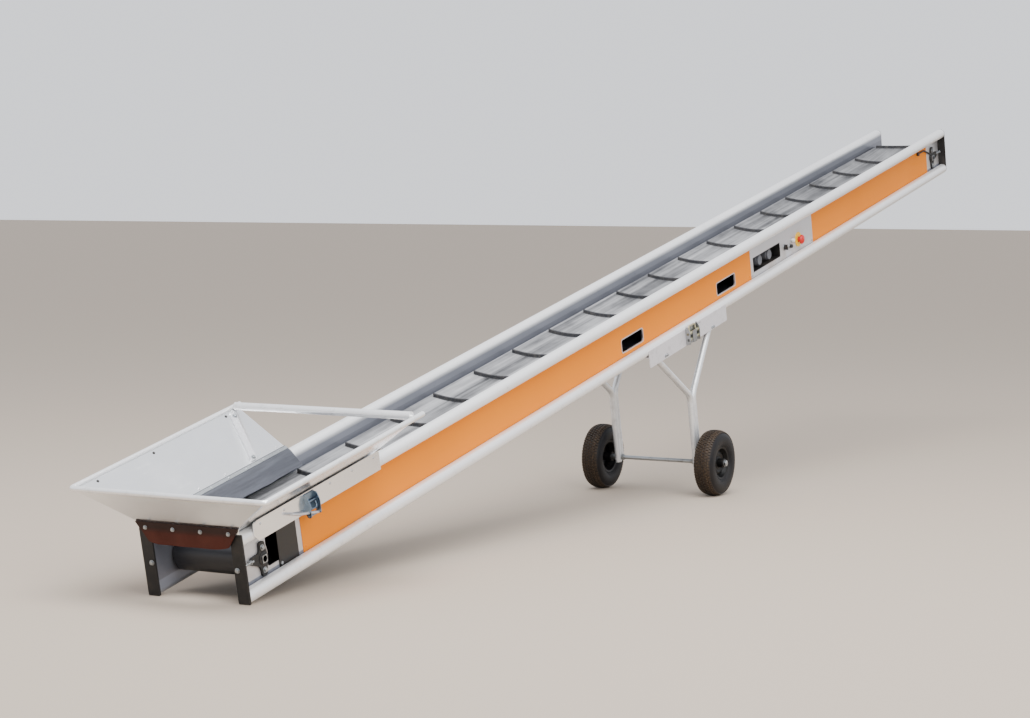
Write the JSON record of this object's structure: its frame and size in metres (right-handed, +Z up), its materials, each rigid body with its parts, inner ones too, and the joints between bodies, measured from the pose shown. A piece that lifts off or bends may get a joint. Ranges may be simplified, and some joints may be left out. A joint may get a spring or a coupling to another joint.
{
  "type": "mobile belt conveyor",
  "caption": "Inclined cleated belt conveyor with an aluminium frame, a sheet loading hopper at its tail, a control plate and a two-wheeled undercarriage",
  "frame": {"origin": "on the floor, under the middle of the conveyor's bounding box", "axes": "+X along the conveyor from the low tail end to the high head end, +Y across it, away from the side with the controls, +Z up"},
  "size_m": [6.0268, 0.712, 1.4984],
  "materials": {
    "bare_aluminium": "satin mill finish",
    "black_plastic": "moulded, matte",
    "orange_paint": "satin paint",
    "grey_plastic": "moulded, matte",
    "yellow_plastic": "gloss",
    "red_plastic": "gloss",
    "drum_steel": "turned",
    "belt_rubber": "matte, dusty",
    "galvanised_sheet": "zinc coated, bright",
    "zinc_steel": "zinc plated",
    "black_paint": "satin paint",
    "red_rubber": "matte",
    "black_rubber": "matte",
    "tyre_rubber": "matte, dusty"
  },
  "bodies": {
    "conveyor": {"bottom_rails": "bare_aluminium", "top_rails": "bare_aluminium", "side_web_near": "bare_aluminium", "side_web_far": "bare_aluminium", "tail_caps": "black_plastic", "head_caps": "black_plastic", "side_panel_near_lower": "orange_paint", "side_panel_near_upper": "orange_paint", "side_panel_far": "orange_paint", "control_plate": "bare_aluminium", "socket_box": "black_plastic", "power_sockets": "grey_plastic", "selector_switch": "black_plastic", "push_buttons": "black_plastic", "stop_ring": "yellow_plastic", "stop_button": "red_plastic", "tail_drum": "drum_steel", "head_drum": "drum_steel", "belt": "belt_rubber", "slide_bed": "galvanised_sheet", "cross_ties": "zinc_steel", "return_rollers": "black_plastic", "tail_bearings": "black_paint", "head_bearings": "black_paint", "motor_cable": "black_rubber", "tension_screws": "zinc_steel", "tail_covers": "black_paint", "hopper_plate_near": "galvanised_sheet", "hopper_plate_far": "galvanised_sheet", "hopper_front_plate": "galvanised_sheet", "hopper_rim": "bare_aluminium", "hopper_crossbar": "bare_aluminium", "hopper_skirts": "galvanised_sheet", "hopper_seals": "black_rubber", "front_flap": "red_rubber", "hopper_braces": "galvanised_sheet", "hopper_latches": "zinc_steel", "chassis_plates": "bare_aluminium", "legs": "bare_aluminium", "chassis_clamps": "zinc_steel", "axle": "zinc_steel"},
    "wheel_near": {"tyre_near": "tyre_rubber", "rim_near": "black_paint"},
    "wheel_far": {"tyre_far": "tyre_rubber", "rim_far": "black_paint"}
  },
  "joints": [
    {"name": "wheel_near_spin", "type": "hinge", "parent": "conveyor", "child": "wheel_near", "pos_m": [0.20358, -0.248, 0.13], "axis": [0, 1, 0], "continuous": true},
    {"name": "wheel_far_spin", "type": "hinge", "parent": "conveyor", "child": "wheel_far", "pos_m": [0.20358, 0.248, 0.13], "axis": [0, 1, 0], "continuous": true}
  ]
}
